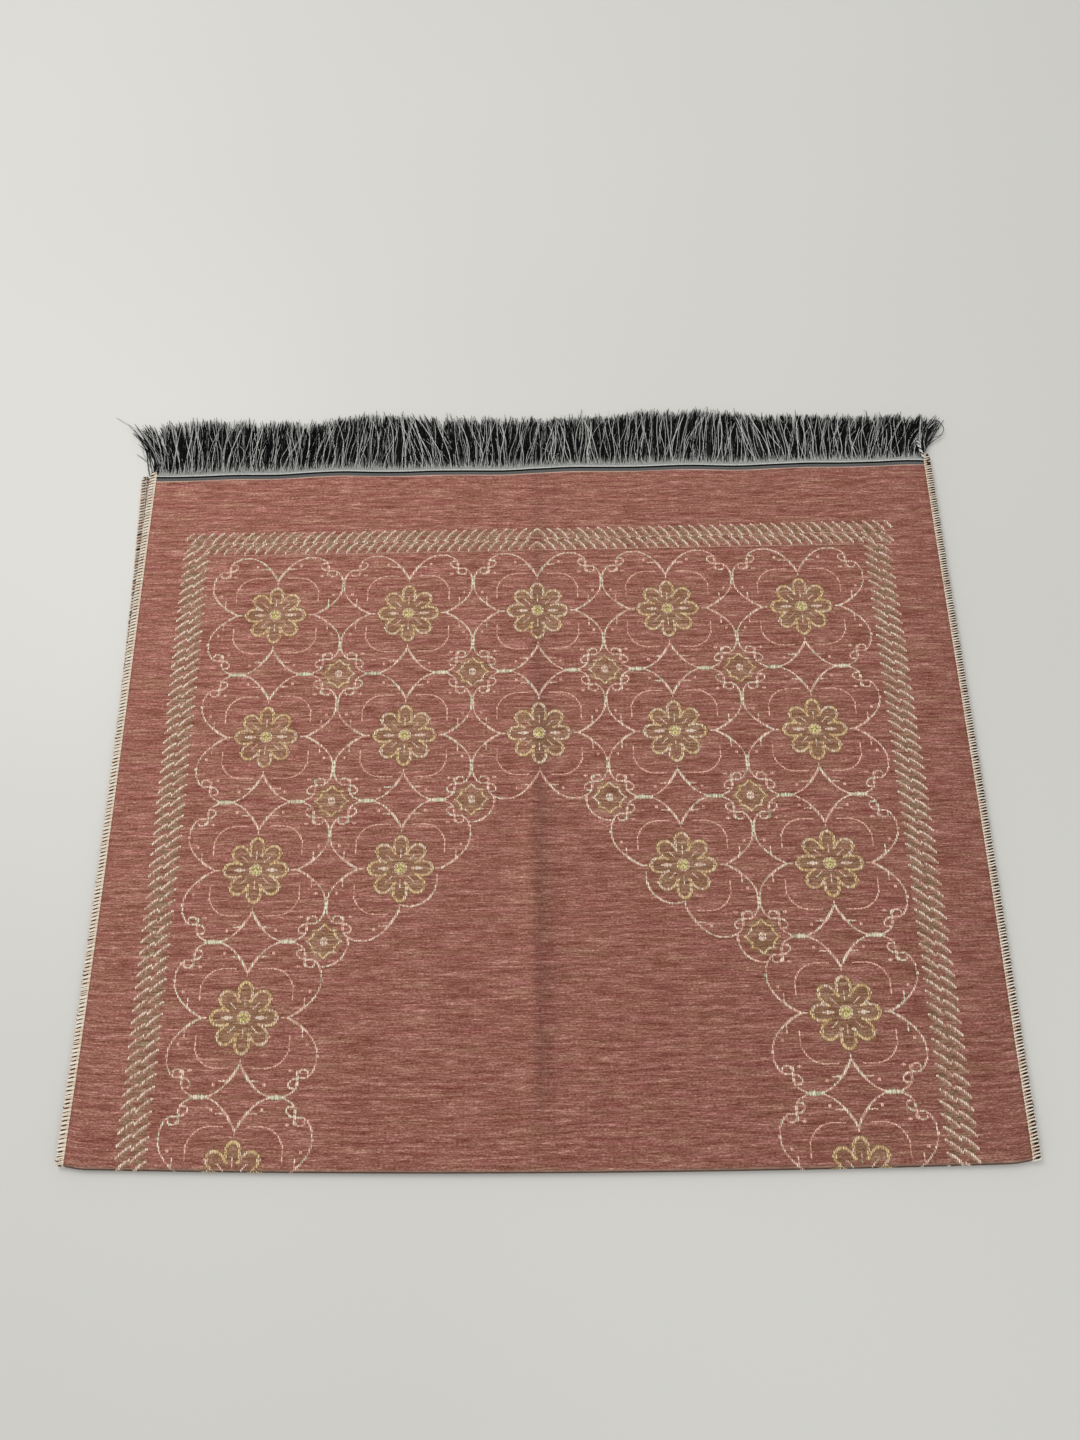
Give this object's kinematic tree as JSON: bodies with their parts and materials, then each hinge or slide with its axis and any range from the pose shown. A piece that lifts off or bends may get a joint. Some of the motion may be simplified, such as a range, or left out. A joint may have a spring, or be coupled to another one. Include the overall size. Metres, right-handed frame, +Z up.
{
  "type": "folded prayer rug",
  "caption": "Rectangular chenille prayer rug folded once across its middle, lying flat with its fold in front and its fringe at the back.",
  "frame": {"origin": "middle of the rug's underside: the centre of its box across and along, on the floor", "axes": "+X across the rug along its fold, +Y from the fold to the fringe, +Z up"},
  "size_m": [0.7208, 0.6428, 0.0075],
  "materials": {
    "rose_chenille": "matte rose chenille weave with cream and gold figured floats",
    "cream_overlock": "matte cream overlock thread",
    "grey_warp": "matte black and pale grey warp yarn"
  },
  "bodies": {
    "root": {"rug_cloth": "rose_chenille", "binding_left": "cream_overlock", "binding_right": "cream_overlock", "fringe_upper": "grey_warp", "fringe_lower": "grey_warp"}
  },
  "joints": []
}
